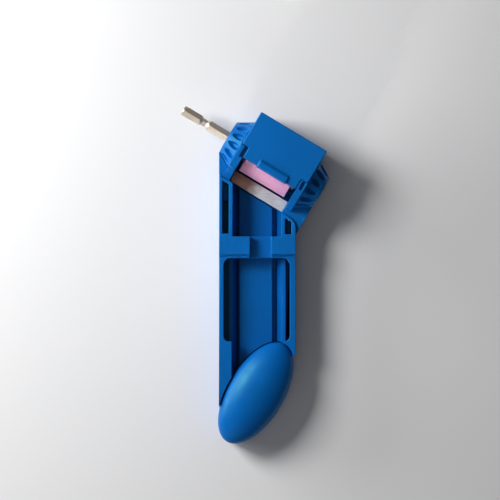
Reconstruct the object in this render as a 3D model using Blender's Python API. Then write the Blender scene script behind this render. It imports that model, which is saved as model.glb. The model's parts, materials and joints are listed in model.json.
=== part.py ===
"""Hand-held drill bit sharpener that an electric drill turns.

The tool lies on its back: +Z points out of its face, +Y runs from the palm dome towards the head.
The head is turned so that the wheel axis makes half of the bit's point angle with the handle.
Head pieces are made in the head's own frame: x along the spindle, y away from the handle, z up.
"""

import math

import bmesh
import bpy
from mathutils import Matrix, Vector

MM = 0.001
GAP = 0.3 * MM

# The bit's point angle sets the angle between spindle and handle.
POINT_ANGLE = math.radians(118)
HEAD_TILT = math.pi / 2 - POINT_ANGLE / 2

# Places of the sub-assemblies, from the middle of the outer box.
TOOL_SHIFT = (1.4 * MM, 74.0 * MM)
HEAD_CENTRE = (11.6 * MM, 0.0)
SPINDLE_HEIGHT = 20.0 * MM

# Handle
HANDLE_HALF_WIDTH = 25.7 * MM
WALL = 2.5 * MM
SEAM = 25.2 * MM
SEAM_GAP = 0.4 * MM
SEAM_CORNER_RADIUS = 8.0 * MM
PARTING_HEIGHT = 9.0 * MM
LADDER_TOP = 25.0 * MM
FRAME_TOP = 22.5 * MM
TRAY_FLOOR = 4.0 * MM
BACK_EDGE_RADIUS = 6.0 * MM
NARROW_POCKET = (-23.5 * MM, -19.1 * MM, -46.2 * MM)
MIDDLE_POCKET = (-16.6 * MM, 16.1 * MM, -48.1 * MM)
SMALL_POCKET = (18.6 * MM, 22.8 * MM, -46.6 * MM)
POCKET_TO_SEAM = 2.0 * MM
CROSSBAR_END = -60.0 * MM
CROSSBAR_STEP = 1.8 * MM
NOTCH = (-5.0 * MM, 9.3 * MM)
BIT_REST_HEIGHT = 18.0 * MM
WINDOW = (-22.6 * MM, 21.9 * MM, -118.6 * MM, -62.7 * MM)
SLOT_HALF_WIDTH = 17.2 * MM
LEFT_RAIL_END = -162.0 * MM
RIGHT_RAIL_END = -127.5 * MM
CHANNEL_FLOOR_HALF = 12.4 * MM
CHANNEL_TOP_HALF = 16.6 * MM
CHANNEL_TOP = 14.0 * MM
BED_SIDES = (-11.9 * MM, 10.1 * MM)

# Palm dome, an oval parallel to the head
DOME_CENTRE = (-1.0 * MM, -153.6 * MM)
DOME_HALF_LENGTH = 38.0 * MM
DOME_HALF_WIDTH = 19.0 * MM
DOME_RIM = 18.0 * MM
DOME_TOP = 30.0 * MM
DOME_POST_OFFSET = 20.0 * MM

# Head, measured from the spindle axis
HEAD_HALF_WIDTH = 25.5 * MM
HEAD_HALF_DEPTH = 20.0 * MM
HOOD_REACH = 25.0 * MM
WINDOW_HALF_WIDTH = 20.7 * MM
TONGUE_REACH = 7.4 * MM
COLUMN_FLAT_END = 16.7 * MM
COLUMN_FOOT = 21.6 * MM
WING_HEIGHT = 3.0 * MM
END_FACE = 36.3 * MM
CONE_END_RADIUS = 11.4 * MM
CONE_BASE_RADIUS = 17.9 * MM
POCKETS_ROUND_CONE = 14
POCKET_MIDDLE = 30.4 * MM
POCKET_HALF_SIZE = (5.1 * MM, 2.35 * MM, 3.2 * MM)
WING_ANGLES = (math.radians(80), math.radians(125))
CLIP_SLOT_FLOOR = 17.6 * MM
LUG_HEIGHTS = (9.6 * MM, 14.0 * MM)
LUG_HOLE_TOP = 12.9 * MM
BORE_RADIUS = 9.0 * MM
PLATE_TOP = -2.0 * MM
PLATE_THICKNESS = 1.4 * MM
EAR_THICKNESS = 1.2 * MM
EAR_LENGTH = 1.7 * MM

# Running gear
WHEEL_RADIUS = 15.5 * MM
WHEEL_LENGTH = 35.0 * MM
WHEEL_MIDDLE = -1.0 * MM
HEX_ACROSS_FLATS = 6.35 * MM
SHANK_END = -71.7 * MM
NECK = (-58.8 * MM, -51.0 * MM)
NECK_RADIUS = 2.6 * MM
ARBOR_RADIUS = 4.0 * MM
THREAD_RADIUS = 3.0 * MM
BEARING_RADIUS = 9.5 * MM
BEARING_INNER = 28.2 * MM
BEARING_WIDTH = 6.0 * MM
BEARING_BORE_RIM = 5.4 * MM
BALLS = 8
BALL_RADIUS = 0.95 * MM
JOURNAL_STEP = 0.15 * MM
CLIP_GROOVE = (-35.5 * MM, -34.4 * MM)
GROOVE_RADIUS = 3.2 * MM
NUT_SPAN = (20.6 * MM, 25.6 * MM)
NUT_ACROSS_FLATS = 10.0 * MM

SCREW_RADIUS = 1.35 * MM
SCREW_HEAD_RADIUS = 2.8 * MM
SCREW_HEAD = (1.6 * MM, 3.6 * MM)
BOSS_RADIUS = 4.0 * MM
COUNTERBORE_RADIUS = 3.2 * MM

# Linear colour, roughness, metallic
BLUE = ((0.004, 0.100, 0.386), 0.45, 0.0)
PINK = ((0.60, 0.29, 0.47), 0.95, 0.0)
STEEL = ((0.55, 0.54, 0.52), 0.30, 1.0)
DARK_STEEL = ((0.30, 0.28, 0.26), 0.35, 1.0)
BRASS = ((0.60, 0.45, 0.18), 0.40, 1.0)
BLACK = ((0.02, 0.02, 0.02), 0.60, 0.0)


# Scene and materials


def clear_scene():
    for obj in list(bpy.data.objects):
        bpy.data.objects.remove(obj, do_unlink=True)


def collection(name):
    found = bpy.data.collections.new(name)
    bpy.context.scene.collection.children.link(found)
    return found


clear_scene()
PARTS = collection("drill_bit_sharpener")
CUTTERS = collection("cutters")
MATERIALS = {}


def material(name, look):
    """A Principled material, made once for each name."""
    if name in MATERIALS:
        return MATERIALS[name]
    colour, roughness, metallic = look
    made = bpy.data.materials.new(name)
    made.use_nodes = True
    shader = made.node_tree.nodes["Principled BSDF"]
    shader.inputs["Base Color"].default_value = (*colour, 1)
    shader.inputs["Roughness"].default_value = roughness
    shader.inputs["Metallic"].default_value = metallic
    made.diffuse_color = (*colour, 1)
    MATERIALS[name] = made
    return made


def empty(name, parent, location, turn=0.0):
    made = bpy.data.objects.new(name, None)
    made.parent = parent
    made.location = location
    made.rotation_euler.z = turn
    PARTS.objects.link(made)
    return made


TOOL = empty("tool_frame", None, (*TOOL_SHIFT, 0))
HEAD = empty("head_frame", TOOL, (*HEAD_CENTRE, SPINDLE_HEIGHT), -HEAD_TILT)
DOME = empty("dome_frame", TOOL, (*DOME_CENTRE, 0), -HEAD_TILT)


def add(name, mesh, parent, look=None):
    """Adds a part, or a hidden cutter where no look is given."""
    obj = bpy.data.objects.new(name, mesh)
    obj.parent = parent
    if look is None:
        CUTTERS.objects.link(obj)
        obj.hide_render = True
        obj.display_type = "WIRE"
    else:
        PARTS.objects.link(obj)
        mesh.materials.append(material(*look))
    return obj


def boolean(obj, operation, *others):
    for other in others:
        modifier = obj.modifiers.new(f"{operation.lower()}_{other.name}", "BOOLEAN")
        modifier.operation = operation
        modifier.object = other
        modifier.solver = "EXACT"


def cut(obj, *cutters):
    boolean(obj, "DIFFERENCE", *cutters)


def join(obj, *others):
    boolean(obj, "UNION", *others)


def keep(obj, *others):
    boolean(obj, "INTERSECT", *others)


# Shapes

MERGE_DISTANCE = 0.01 * MM
SHARP_ANGLE = math.radians(32)

# Turns a shape made about x so that it stands about z.
STAND_UP = Matrix.Rotation(-math.pi / 2, 4, "Y")

UPRIGHT = Matrix.Identity(4)
# A side profile's x and y become y and z, and its thickness runs along x.
ALONG_X = Matrix(((0, 0, 1, 0), (1, 0, 0, 0), (0, 1, 0, 0), (0, 0, 0, 1)))
# An end profile's x and y become x and z, and its thickness runs along y.
ALONG_Y = Matrix(((1, 0, 0, 0), (0, 0, 1, 0), (0, 1, 0, 0), (0, 0, 0, 1)))


def arc(centre, radius, start, end, steps):
    """Points of an arc, angles in degrees."""
    points = []
    for i in range(steps + 1):
        angle = math.radians(start + (end - start) * i / steps)
        points.append((centre[0] + radius * math.cos(angle), centre[1] + radius * math.sin(angle)))
    return points


def rounded(corners, steps=5):
    """An outline from (x, y, radius) corners, each rounded by its radius."""
    points = []
    for i, (x, y, radius) in enumerate(corners):
        corner = Vector((x, y))
        if not radius:
            points.append((x, y))
            continue
        back = (Vector(corners[i - 1][:2]) - corner).normalized()
        ahead = (Vector(corners[(i + 1) % len(corners)][:2]) - corner).normalized()
        half = back.angle(ahead) / 2
        centre = corner + (back + ahead).normalized() * radius / math.sin(half)
        spoke = corner + back * radius / math.tan(half) - centre
        sweep = math.copysign(math.pi - 2 * half, back.y * ahead.x - back.x * ahead.y)
        for j in range(steps + 1):
            points.append(tuple(centre + Matrix.Rotation(sweep * j / steps, 2) @ spoke))
    return points


def mesh_of(form, name):
    """Turns a bmesh into a mesh and frees it."""
    mesh = bpy.data.meshes.new(name)
    form.to_mesh(mesh)
    form.free()
    return mesh


def plate_mesh(name, outline, low, high, plane=UPRIGHT):
    """A flat outline as a filled 2D curve with thickness, made a mesh."""
    curve = bpy.data.curves.new(name, "CURVE")
    curve.dimensions = "2D"
    curve.fill_mode = "BOTH"
    curve.extrude = (high - low) / 2
    spline = curve.splines.new("POLY")
    spline.points.add(len(outline) - 1)
    for point, (x, y) in zip(spline.points, outline):
        point.co = (x, y, 0, 1)
    spline.use_cyclic_u = True
    holder = bpy.data.objects.new(name, curve)
    bpy.context.scene.collection.objects.link(holder)
    evaluated = holder.evaluated_get(bpy.context.evaluated_depsgraph_get())
    mesh = bpy.data.meshes.new_from_object(evaluated)
    bpy.data.objects.remove(holder)
    bpy.data.curves.remove(curve)
    form = bmesh.new()
    form.from_mesh(mesh)
    bmesh.ops.remove_doubles(form, verts=form.verts, dist=0.001 * MM)
    bmesh.ops.dissolve_limit(form, angle_limit=0.01, verts=form.verts, edges=form.edges)
    bmesh.ops.transform(form, matrix=Matrix.Translation((0, 0, (low + high) / 2)), verts=form.verts)
    bmesh.ops.transform(form, matrix=plane, verts=form.verts)
    bmesh.ops.recalc_face_normals(form, faces=form.faces)
    form.to_mesh(mesh)
    form.free()
    return mesh


def plate(name, outline, low, high, parent=TOOL, look=None, plane=UPRIGHT):
    return add(name, plate_mesh(name, outline, low, high, plane), parent, look)


def box(name, x, y, z, parent=TOOL, look=None):
    """A box between pairs of x, y and z."""
    form = bmesh.new()
    bmesh.ops.create_cube(form, size=1)
    for vert in form.verts:
        vert.co = [low + (high - low) * (part + 0.5) for part, (low, high) in zip(vert.co, (x, y, z))]
    return add(name, mesh_of(form, name), parent, look)


def turned_mesh(name, profile, steps, closed=False):
    """A turned shape about x from (x, radius) points, smooth but for its sharp corners."""
    form = bmesh.new()
    verts = [form.verts.new((x, radius, 0)) for x, radius in profile]
    followers = verts[1:] + verts[:1] if closed else verts[1:]
    edges = [form.edges.new(pair) for pair in zip(verts, followers)]
    bmesh.ops.spin(form, geom=verts + edges, axis=(1, 0, 0), cent=(0, 0, 0), angle=2 * math.pi, steps=steps)
    bmesh.ops.remove_doubles(form, verts=form.verts, dist=MERGE_DISTANCE)
    bmesh.ops.recalc_face_normals(form, faces=form.faces)
    mesh = mesh_of(form, name)
    mesh.shade_smooth()
    mesh.set_sharp_from_angle(angle=SHARP_ANGLE)
    return mesh


def turned(name, profile, steps, parent=HEAD, look=None, closed=False):
    return add(name, turned_mesh(name, profile, steps, closed), parent, look)


def ring(name, low, high, inner, outer, steps, parent=HEAD, look=None):
    profile = [(high, outer), (low, outer), (low, inner), (high, inner)]
    return turned(name, profile, steps, parent, look, closed=True)


def rod(name, low, high, radius, steps, parent=HEAD, look=None):
    return turned(name, [(high, 0), (high, radius), (low, radius), (low, 0)], steps, parent, look)


def post(name, x, y, low, high, radius, parent=TOOL, look=None, sides=20):
    """An upright cylinder."""
    mesh = turned_mesh(name, [(high, 0), (high, radius), (low, radius), (low, 0)], sides)
    mesh.transform(Matrix.Translation((x, y, 0)) @ STAND_UP)
    return add(name, mesh, parent, look)


# Handle


def seam_y(x, inset=0.0):
    """The y of the joint between head and handle, which is square to the head."""
    across = (x - HEAD_CENTRE[0]) * math.sin(HEAD_TILT)
    return HEAD_CENTRE[1] - (SEAM + inset + across) / math.cos(HEAD_TILT)


def dome_outline(grow, start=0, end=360, steps=48):
    """Points of the dome's oval in the tool's frame, from its upper tip round by the right side."""
    along = Vector((math.sin(HEAD_TILT), math.cos(HEAD_TILT)))
    across = Vector((math.cos(HEAD_TILT), -math.sin(HEAD_TILT)))
    points = []
    for i in range(steps + 1):
        angle = math.radians(start + (end - start) * i / steps)
        length = (DOME_HALF_LENGTH + grow) * math.cos(angle)
        width = (DOME_HALF_WIDTH + grow) * math.sin(angle)
        points.append(tuple(Vector(DOME_CENTRE) + along * length + across * width))
    return points


def handle_sides(grow, seam_inset):
    """The top corners of the handle's outline, left then right, the right one rounded."""
    left = -HANDLE_HALF_WIDTH - grow
    right = HANDLE_HALF_WIDTH + grow
    return rounded([
        (left, seam_y(left, seam_inset), 0),
        (right, seam_y(right, seam_inset), SEAM_CORNER_RADIUS + grow),
        (right, -60 * MM, 0),
    ])[:-1]


def frame_outline():
    right = HANDLE_HALF_WIDTH
    return handle_sides(0, 0) + [(right, RIGHT_RAIL_END), (-right, LEFT_RAIL_END)]


def tray_outline(inset, seam_inset):
    """The whole handle seen from its back, with the end that follows the dome."""
    right = HANDLE_HALF_WIDTH - inset
    end = dome_outline(-inset, 25, 207, 24)
    left_end = [(-right, -177 * MM)]
    return handle_sides(-inset, seam_inset) + [(right, end[0][1] + 1.5 * MM)] + end + left_end


def dome_cutter(name, low, high):
    return plate(name, dome_outline(GAP + 0.2 * MM)[:-1], low, high)


def slanted_pocket(name, pocket, low, high, seam_inset=POCKET_TO_SEAM):
    left, right, bottom = pocket
    outline = [
        (left, bottom),
        (right, bottom),
        (right, seam_y(right, seam_inset)),
        (left, seam_y(left, seam_inset)),
    ]
    return plate(name, outline, low, high)


SCREW_PLACES = {
    "head_screw_left": (-21.3 * MM, -19.5 * MM, 12.5 * MM),
    "head_screw_right": (20.7 * MM, -43.2 * MM, 12.5 * MM),
    "crossbar_screw_left": (-20.9 * MM, -55.0 * MM, 17.0 * MM),
    "crossbar_screw_right": (20.9 * MM, -55.0 * MM, 17.0 * MM),
    "lower_screw_left": (-21.2 * MM, -132.0 * MM, 17.0 * MM),
    "lower_screw_right": (21.4 * MM, -121.4 * MM, 17.0 * MM),
}


def dome_screw_places():
    along = Vector((math.sin(HEAD_TILT), math.cos(HEAD_TILT)))
    upper = Vector(DOME_CENTRE) + along * DOME_POST_OFFSET
    lower = Vector(DOME_CENTRE) - along * DOME_POST_OFFSET
    return {
        "dome_screw_upper": (*upper, 17.0 * MM),
        "dome_screw_lower": (*lower, 17.0 * MM),
    }


SCREW_PLACES.update(dome_screw_places())


def make_frame():
    """The front moulding: side rails, ladder of pockets, crossbar and thumb window."""
    top = LADDER_TOP + 1 * MM
    under = PARTING_HEIGHT - 1 * MM
    lug_space = LUG_HEIGHTS[1] + GAP
    look = ("blue_plastic", BLUE)
    frame = plate("handle_frame", frame_outline(), PARTING_HEIGHT + GAP, LADDER_TOP, TOOL, look)
    left, right, low, high = WINDOW
    window = rounded([
        (left, low, 3.4 * MM),
        (right, low, 3.4 * MM),
        (right, high, 4.7 * MM),
        (left, high, 4.7 * MM),
    ])
    step_end = CROSSBAR_END - CROSSBAR_STEP
    lowered = [
        (CROSSBAR_END, LADDER_TOP + 0.01 * MM),
        (step_end, FRAME_TOP),
        (-200 * MM, FRAME_TOP),
        (-200 * MM, 40 * MM),
        (CROSSBAR_END, 40 * MM),
    ]
    inner = CHANNEL_TOP_HALF - 2.2 * MM
    outer = CHANNEL_TOP_HALF + WALL + 0.4 * MM
    wall_space = (under, CHANNEL_TOP + GAP)
    cut(
        frame,
        slanted_pocket("narrow_pocket", NARROW_POCKET, under, top),
        slanted_pocket("middle_pocket", MIDDLE_POCKET, under, top, -6 * MM),
        slanted_pocket("small_pocket", SMALL_POCKET, under, top),
        plate("lowered_front", lowered, -40 * MM, 40 * MM, plane=ALONG_X),
        plate("thumb_window", window, under, top),
        box("lower_slot", (-SLOT_HALF_WIDTH, SLOT_HALF_WIDTH), (-175 * MM, low + 2 * MM), (under, top)),
        box("bit_notch", NOTCH, (high - 1 * MM, MIDDLE_POCKET[2] + 1 * MM), (BIT_REST_HEIGHT, top)),
        box("left_wall_passage", (-outer, -inner), (-150 * MM, 30 * MM), wall_space),
        box("right_wall_passage", (inner, outer), (-150 * MM, 30 * MM), wall_space),
        dome_cutter("dome_space_in_frame", under, top),
        box("left_lug_passage", (-23.4 * MM, -19.2 * MM), (-25 * MM, 5 * MM), (under, lug_space)),
        box("right_lug_passage", (18.7 * MM, 22.7 * MM), (-46 * MM, -30 * MM), (under, lug_space)),
    )
    for name in ("crossbar_screw_left", "crossbar_screw_right", "lower_screw_left", "lower_screw_right"):
        x, y, tip = SCREW_PLACES[name]
        cut(frame, post(f"{name}_hole", x, y, under, tip + 1 * MM, SCREW_RADIUS + GAP, sides=12))


def bevel_back_edge(mesh):
    """Rounds the bottom edge of the tray, but not where it meets the head."""
    form = bmesh.new()
    form.from_mesh(mesh)
    edges = []
    for edge in form.edges:
        low = all(vert.co.z < 0.01 * MM for vert in edge.verts)
        middle = (edge.verts[0].co + edge.verts[1].co) / 2
        at_seam = middle.y > seam_y(middle.x) - 0.2 * MM
        if low and not at_seam and edge.calc_face_angle(0) > 1:
            edges.append(edge)
    bmesh.ops.bevel(form, geom=edges, offset=BACK_EDGE_RADIUS, segments=4, profile=0.5, affect="EDGES")
    form.to_mesh(mesh)
    form.free()


def channel_wall(name, side):
    outline = [
        (side * CHANNEL_FLOOR_HALF, TRAY_FLOOR - 1 * MM),
        (side * (CHANNEL_FLOOR_HALF + WALL), TRAY_FLOOR - 1 * MM),
        (side * (CHANNEL_TOP_HALF + WALL), CHANNEL_TOP),
        (side * CHANNEL_TOP_HALF, CHANNEL_TOP),
    ]
    wall = plate(name, outline, -145 * MM, 20 * MM, plane=ALONG_Y)
    keep(wall, plate(f"{name}_limits", tray_outline(0.6 * MM, 0), 0, 20 * MM))
    cut(wall, dome_cutter(f"{name}_dome_space", 0, 20 * MM))
    return wall


def make_tray():
    """The back moulding: floor, drafted channel walls and screw bosses."""
    mesh = plate_mesh("handle_tray", tray_outline(0, 0), 0, PARTING_HEIGHT)
    bevel_back_edge(mesh)
    tray = add("handle_tray", mesh, TOOL, ("blue_plastic", BLUE))
    cut(tray, plate("tray_inside", tray_outline(WALL, -9 * MM), TRAY_FLOOR, PARTING_HEIGHT + 1 * MM))
    join(tray, channel_wall("left_channel_wall", -1), channel_wall("right_channel_wall", 1))
    for name, (x, y, _) in SCREW_PLACES.items():
        join(tray, post(f"{name}_boss", x, y, TRAY_FLOOR - 1 * MM, PARTING_HEIGHT, BOSS_RADIUS))
    for name, (x, y, _) in SCREW_PLACES.items():
        bore = post(f"{name}_counterbore", x, y, -1 * MM, SCREW_HEAD[1] + GAP, COUNTERBORE_RADIUS)
        hole = post(f"{name}_clearance", x, y, -1 * MM, 10 * MM, SCREW_RADIUS + GAP, sides=12)
        cut(tray, bore, hole)
    recess = rounded([
        (-13 * MM, -118 * MM, 4 * MM),
        (13 * MM, -118 * MM, 4 * MM),
        (13 * MM, -64 * MM, 4 * MM),
        (-13 * MM, -64 * MM, 4 * MM),
    ])
    cut(tray, plate("back_recess", recess, -1 * MM, 1.2 * MM))


def make_bed():
    """The low bed in the trough: a flat top on two legs, held down by the crossbar."""
    left, right = BED_SIDES
    bottom = TRAY_FLOOR + GAP
    leg = 2 * MM
    underside = PARTING_HEIGHT - WALL
    outline = [
        (left, bottom),
        (left + leg, bottom),
        (left + leg, underside),
        (right - leg, underside),
        (right - leg, bottom),
        (right, bottom),
        (right, PARTING_HEIGHT),
        (left, PARTING_HEIGHT),
    ]
    bed = plate("trough_bed", outline, -140 * MM, 20 * MM, TOOL, ("blue_plastic", BLUE), ALONG_Y)
    keep(bed, plate("bed_limits", tray_outline(0.5 * MM, GAP), 0, 20 * MM))
    cut(bed, dome_cutter("dome_space_in_bed", 0, 20 * MM))


def dome_section(share, rim, height, steps):
    """Half of the dome's section: (height, radius) from its tip down to its rim."""
    points = []
    for i in range(steps + 1):
        angle = math.pi / 2 * i / steps
        points.append((rim + height * math.cos(angle), share * math.sin(angle)))
    return points


def make_dome():
    """The palm dome: a hollow oval cap, round on top, with two screw posts inside."""
    bottom = PARTING_HEIGHT + GAP
    inner_rim = DOME_RIM - 0.5 * MM
    outer = dome_section(1, DOME_RIM, DOME_TOP - DOME_RIM, 9)
    inner = dome_section(0.9, inner_rim, DOME_TOP - WALL - inner_rim, 5)
    profile = outer + [(bottom, 1), (bottom, 0.9)] + inner[::-1]
    mesh = turned_mesh("palm_dome", [(z, DOME_HALF_LENGTH * share) for z, share in profile], 44)
    squeeze = Matrix.Diagonal((DOME_HALF_WIDTH / DOME_HALF_LENGTH, 1, 1, 1))
    mesh.transform(squeeze @ STAND_UP)
    dome = add("palm_dome", mesh, DOME, ("blue_plastic", BLUE))
    for name, y in (("upper", DOME_POST_OFFSET), ("lower", -DOME_POST_OFFSET)):
        join(dome, post(f"{name}_dome_post", 0, y, bottom, 26.5 * MM, 3.5 * MM, DOME))
    for name, y in (("upper", DOME_POST_OFFSET), ("lower", -DOME_POST_OFFSET)):
        hole = post(f"{name}_dome_hole", 0, y, 8 * MM, 18 * MM, SCREW_RADIUS + GAP, DOME, sides=12)
        cut(dome, hole)


def make_screws():
    """Pan-head screws that go in from the back."""
    low, high = SCREW_HEAD
    for name, (x, y, tip) in SCREW_PLACES.items():
        profile = [
            (tip, 0),
            (tip, SCREW_RADIUS * 0.6),
            (tip - 1 * MM, SCREW_RADIUS),
            (high, SCREW_RADIUS),
            (high, SCREW_HEAD_RADIUS),
            (low + 0.6 * MM, SCREW_HEAD_RADIUS),
            (low, SCREW_HEAD_RADIUS * 0.7),
            (low, 0),
        ]
        screw = turned(name, profile, 16, TOOL, ("screw_steel", DARK_STEEL))
        screw.location = (x, y, 0)
        screw.data.transform(STAND_UP)


# Head


def handle_space(name):
    """The space that the handle needs at the head, with its gap."""
    left = -HANDLE_HALF_WIDTH - SEAM_GAP
    outline = handle_sides(SEAM_GAP, -SEAM_GAP) + [(-left, -80 * MM), (left, -80 * MM)]
    return plate(name, outline, -5 * MM, 45 * MM)


def cone_profile(grow):
    """Outer side of a bearing cone: (distance along the spindle, radius)."""
    return [
        (HEAD_HALF_WIDTH + GAP - grow, CONE_BASE_RADIUS + grow),
        (END_FACE + grow, CONE_END_RADIUS + grow),
    ]


def cone_space(name, side):
    (base, wide), (end, narrow) = cone_profile(0.4 * MM)
    profile = [(end, 0), (end, narrow), (base, wide), (base - 1 * MM, wide), (base - 1 * MM, 0)]
    if side < 0:
        profile = [(-x, radius) for x, radius in reversed(profile)]
    return turned(name, profile, 40)


def make_housing():
    """The head's lower half: wheel shroud, two columns, side wings, plate seat and lugs."""
    half = HEAD_HALF_WIDTH
    back = -HEAD_HALF_DEPTH
    section = [
        (HOOD_REACH, WING_HEIGHT - GAP),
        (12.3 * MM, WING_HEIGHT - GAP),
        (12.3 * MM, 7.8 * MM),
        (7.8 * MM, 12.3 * MM),
        (0, 12.3 * MM),
        (0, HEAD_HALF_DEPTH),
        (-COLUMN_FLAT_END, HEAD_HALF_DEPTH),
        (-COLUMN_FOOT, WING_HEIGHT),
        (-SEAM - 1 * MM, WING_HEIGHT),
        (-SEAM - 1 * MM, back),
    ] + arc((HOOD_REACH - 14 * MM, back + 14 * MM), 14 * MM, -90, 0, 6)
    housing = plate("head_housing", section, -half, half, HEAD, ("blue_plastic", BLUE), ALONG_X)

    inner = HOOD_REACH - WALL
    cavity = [
        (inner, 30 * MM),
        (-COLUMN_FLAT_END, 30 * MM),
        (-COLUMN_FLAT_END, -12 * MM),
        (-11 * MM, back + WALL),
    ] + arc((inner - 11.5 * MM, back + WALL + 11.5 * MM), 11.5 * MM, -90, 0, 5)
    narrow = WINDOW_HALF_WIDTH
    wide = half - WALL
    clip_slot = (CLIP_SLOT_FLOOR, 30 * MM)
    slot_half = narrow + EAR_LENGTH
    slot_floor = PLATE_TOP - PLATE_THICKNESS - GAP
    cut(
        housing,
        plate("wheel_space", cavity, -narrow, narrow, HEAD, plane=ALONG_X),
        box("wide_wheel_space", (-wide, wide), (0.5 * MM, inner - 0.2 * MM), (-6 * MM, 30 * MM), HEAD),
        box("plate_seat", (-narrow, narrow), (-30 * MM, -16 * MM), (slot_floor, 30 * MM), HEAD),
        box(
            "plate_slots",
            (-slot_half, slot_half),
            (-22.7 * MM, -17.6 * MM),
            (slot_floor, PLATE_TOP + GAP),
            HEAD,
        ),
        box("left_clip_slot", (-23.0 * MM, -20.0 * MM), (-7.8 * MM, -0.4 * MM), clip_slot, HEAD),
        box("right_clip_slot", (22.0 * MM, 24.3 * MM), (-6.3 * MM, -0.4 * MM), clip_slot, HEAD),
        rod("spindle_bore", -30 * MM, 30 * MM, BORE_RADIUS, 32),
    )

    low = -9 * MM
    left_wing = [
        (-half + 1 * MM, -9 * MM),
        (-END_FACE, -9 * MM),
        (-END_FACE, -30 * MM),
        (-half + 1 * MM, -30 * MM),
    ]
    right_wing = [
        (half - 1 * MM, -9 * MM),
        (END_FACE, -9 * MM),
        (END_FACE, -40 * MM),
        (half - 1 * MM, -40 * MM),
    ]
    for name, outline, side in (("left_wing", left_wing, -1), ("right_wing", right_wing, 1)):
        wing = plate(name, outline, low, WING_HEIGHT, HEAD)
        cut(wing, cone_space(f"{name}_cone_space", side))
        if side < 0:
            beyond = (-60 * MM, -HANDLE_HALF_WIDTH)
            cut(wing, box("left_wing_limit", beyond, (-60 * MM, 60 * MM), (0, 40 * MM)))
        join(housing, wing)
    cut(housing, handle_space("handle_space"))
    join(
        housing,
        box("left_lug", (-23.1 * MM, -19.5 * MM), (-24 * MM, -6 * MM), LUG_HEIGHTS),
        box("right_lug", (19.5 * MM, 22.4 * MM), (-45.6 * MM, -31 * MM), LUG_HEIGHTS),
    )
    for name in ("head_screw_left", "head_screw_right"):
        x, y, _ = SCREW_PLACES[name]
        cut(housing, post(f"{name}_hole", x, y, 5 * MM, LUG_HOLE_TOP, SCREW_RADIUS + GAP, sides=12))


def cone_pocket(name, turn, side):
    """A long oval that lies along the slope of the cone, at an angle round it."""
    form = bmesh.new()
    bmesh.ops.create_uvsphere(form, u_segments=12, v_segments=8, radius=1)
    slope = math.atan2(CONE_BASE_RADIUS - CONE_END_RADIUS, END_FACE - HEAD_HALF_WIDTH)
    radius = CONE_END_RADIUS + (END_FACE - POCKET_MIDDLE) * math.tan(slope)
    size = Matrix.Diagonal((*POCKET_HALF_SIZE, 1))
    place = Matrix.Translation((POCKET_MIDDLE, 0, radius)) @ Matrix.Rotation(slope, 4, "Y")
    bmesh.ops.transform(form, matrix=Matrix.Rotation(turn, 4, "X") @ place @ size, verts=form.verts)
    if side < 0:
        bmesh.ops.transform(form, matrix=Matrix.Diagonal((-1, 1, 1, 1)), verts=form.verts)
        bmesh.ops.reverse_faces(form, faces=form.faces)
    return add(name, mesh_of(form, name), HEAD)


def make_cone(name, side):
    """A bearing cone with its seat and a ring of oval pockets, open where the wing meets it."""
    (base, wide), (end, narrow) = cone_profile(0)
    seat = BEARING_RADIUS + GAP
    seat_end = end - 1.0 * MM
    profile = [
        (end, 5.6 * MM),
        (end, narrow),
        (base, wide),
        (base, seat),
        (seat_end, seat),
        (seat_end, 5.6 * MM),
    ]
    if side < 0:
        profile = [(-x, radius) for x, radius in reversed(profile)]
    cone = turned(name, profile, 40, HEAD, ("blue_plastic", BLUE), closed=True)
    pitch = 2 * math.pi / POCKETS_ROUND_CONE
    for i in range(POCKETS_ROUND_CONE):
        turn = pitch * (i + 0.5)
        if not WING_ANGLES[0] < turn < WING_ANGLES[1]:
            cut(cone, cone_pocket(f"{name}_pocket_{i}", turn, side))


def make_hood():
    """The removable cover: front, top and side walls, a tongue and a raised finger tab."""
    half = HEAD_HALF_WIDTH
    front = HEAD_HALF_DEPTH
    look = ("blue_plastic", BLUE)
    side = [
        (HOOD_REACH, WING_HEIGHT),
        (HOOD_REACH, front),
        (GAP, front),
        (GAP, 12.3 * MM + GAP),
        (7.8 * MM + GAP, 12.3 * MM + GAP),
        (12.3 * MM + GAP, 7.8 * MM + GAP),
        (12.3 * MM + GAP, WING_HEIGHT),
    ]
    hood = plate("wheel_hood", side, -half, half, HEAD, look, ALONG_X)
    wide = half - WALL
    under = front - WALL
    cut(hood, box("hood_inside", (-wide, wide), (-30 * MM, HOOD_REACH - WALL), (-10 * MM, under), HEAD))
    narrow = WINDOW_HALF_WIDTH - GAP
    tongue = box("tongue", (-narrow, narrow), (-TONGUE_REACH, 2 * MM), (under, front), HEAD)
    tab_side = [
        (-1.6 * MM, front - 0.5 * MM),
        (-3.6 * MM, front + 1.6 * MM),
        (-7.9 * MM, front + 1.6 * MM),
        (-7.9 * MM, front - 1.2 * MM),
        (-7.0 * MM, front - 1.2 * MM),
    ]
    tab = plate("finger_tab", tab_side, -9.2 * MM, 12.7 * MM, HEAD, plane=ALONG_X)
    join(hood, tongue, tab)


def make_plate():
    """The steel plate that the bit leans on, with thinner ears held in slots of the columns."""
    half = WINDOW_HALF_WIDTH - GAP
    bottom = PLATE_TOP - PLATE_THICKNESS
    outline = [
        (half, -16.8 * MM),
        (-half, -16.8 * MM),
        (-half, -22.5 * MM),
        (-half + 1.4 * MM, -24.6 * MM),
        (half, -24.6 * MM),
    ]
    guide = plate("guide_plate", outline, bottom, PLATE_TOP, HEAD, ("brushed_steel", STEEL))
    for name, side in (("left_ear", -1), ("right_ear", 1)):
        across = sorted((side * (half - 1 * MM), side * (half + EAR_LENGTH)))
        join(guide, box(name, across, (-22.4 * MM, -17.9 * MM), (bottom, bottom + EAR_THICKNESS), HEAD))


# Running gear


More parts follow.
